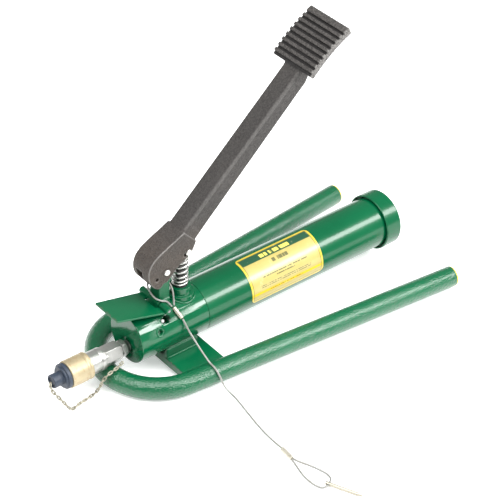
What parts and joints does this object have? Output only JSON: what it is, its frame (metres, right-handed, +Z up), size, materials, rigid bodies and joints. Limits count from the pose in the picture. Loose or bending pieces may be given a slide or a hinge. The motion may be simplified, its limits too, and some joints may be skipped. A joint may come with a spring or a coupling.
{
  "type": "hydraulic foot pump",
  "caption": "Foot-operated hydraulic pump: cylinder with pedal, plunger and spring on a bent tube frame, with outlet coupler, release pedal and lanyard pin.",
  "frame": {"origin": "on the floor, at the centre of the footprint of the pump without its lanyard", "axes": "+X from the outlet coupler towards the reservoir cap, +Y across the frame, +Z up"},
  "size_m": [0.6362, 0.5364, 0.4502],
  "materials": {
    "green_paint": "gloss enamel, worn at edges",
    "yellow_plastic": "moulded",
    "bright_steel": "bright plated",
    "plain_steel": "machined",
    "black_rubber": "moulded",
    "label_film": "printed film",
    "cast_iron": "rough cast, dark paint",
    "yellow_zinc": "yellow zinc plate",
    "blue_rubber": "moulded",
    "coated_wire": "plastic coated steel wire"
  },
  "bodies": {
    "pump_body": {"frame_tube": "green_paint", "cross_plate": "green_paint", "saddle_strip_left": "green_paint", "saddle_strip_right": "green_paint", "pump_block": "green_paint", "relief_plug": "green_paint", "reservoir_tube": "green_paint", "reservoir_cap": "green_paint", "plunger_gland": "green_paint", "pedal_post": "green_paint", "end_plug_left": "yellow_plastic", "end_plug_right": "yellow_plastic", "outlet_check_ball": "bright_steel", "intake_check_ball": "bright_steel", "relief_ball": "bright_steel", "bleed_stem": "bright_steel", "return_spring": "bright_steel", "pivot_pin": "bright_steel", "outlet_adapter": "bright_steel", "coupler_body": "bright_steel", "chain_anchor": "bright_steel", "lock_pin": "bright_steel", "outlet_check_spring": "plain_steel", "intake_tube": "plain_steel", "intake_screen": "plain_steel", "relief_spring": "plain_steel", "tie_rod": "plain_steel", "tie_rod_nut": "plain_steel", "filler_plug": "plain_steel", "pivot_pin_clip": "plain_steel", "release_hinge_pin": "plain_steel", "release_spring": "plain_steel", "coupler_poppet": "plain_steel", "poppet_spring": "plain_steel", "reservoir_seal_front": "black_rubber", "reservoir_seal_rear": "black_rubber", "gland_wiper": "black_rubber", "name_label": "label_film", "lanyard_post_loop": "coated_wire", "lanyard_ferrule_upper": "coated_wire", "lanyard_cable": "coated_wire", "lanyard_ferrule_lower": "coated_wire", "lanyard_pin_loop": "coated_wire"},
    "pedal": {"foot_pedal": "cast_iron"},
    "plunger": {"plunger": "bright_steel", "spring_washer": "bright_steel", "plunger_pin": "bright_steel", "plunger_pin_clip": "plain_steel"},
    "release_pedal": {"release_pedal": "green_paint"},
    "release_rod": {"release_rod": "plain_steel"},
    "coupler_sleeve": {"coupler_sleeve": "yellow_zinc"},
    "dust_cap": {"dust_cap": "blue_rubber", "keeper_chain": "bright_steel"}
  },
  "joints": [
    {"name": "pedal_pivot", "type": "hinge", "parent": "pump_body", "child": "pedal", "pos_m": [-0.13124, 0, 0.16], "axis": [0, 1, 0], "range_deg": [0, 40], "stiffness_Nm_per_rad": 14, "springref_deg": -28.65},
    {"name": "plunger_slide", "type": "slide", "parent": "pump_body", "child": "plunger", "axis": [0, 0, -1], "range_m": [0, 0.0278], "deforming": ["return_spring"]},
    {"name": "release_hinge", "type": "hinge", "parent": "pump_body", "child": "release_pedal", "pos_m": [-0.13624, 0, 0.1023], "axis": [0, -1, 0], "range_deg": [0, 5.5], "stiffness_Nm_per_rad": 2, "springref_deg": -4.58},
    {"name": "release_slide", "type": "slide", "parent": "pump_body", "child": "release_rod", "axis": [0, 0, -1], "range_m": [0, 0.0036], "deforming": ["release_spring"]},
    {"name": "sleeve_turn", "type": "hinge", "parent": "pump_body", "child": "coupler_sleeve", "pos_m": [-0.27024, 0, 0.0463], "axis": [1, 0, 0], "continuous": true},
    {"name": "dust_cap_pull", "type": "slide", "parent": "pump_body", "child": "dust_cap", "axis": [-1, 0, 0], "range_m": [0, 0.025]}
  ],
  "couplings": [
    {"joint": "plunger_slide", "follows": "pedal_pivot", "m_per_rad": 0.0396},
    {"joint": "release_slide", "follows": "release_hinge", "m_per_rad": 0.036}
  ]
}
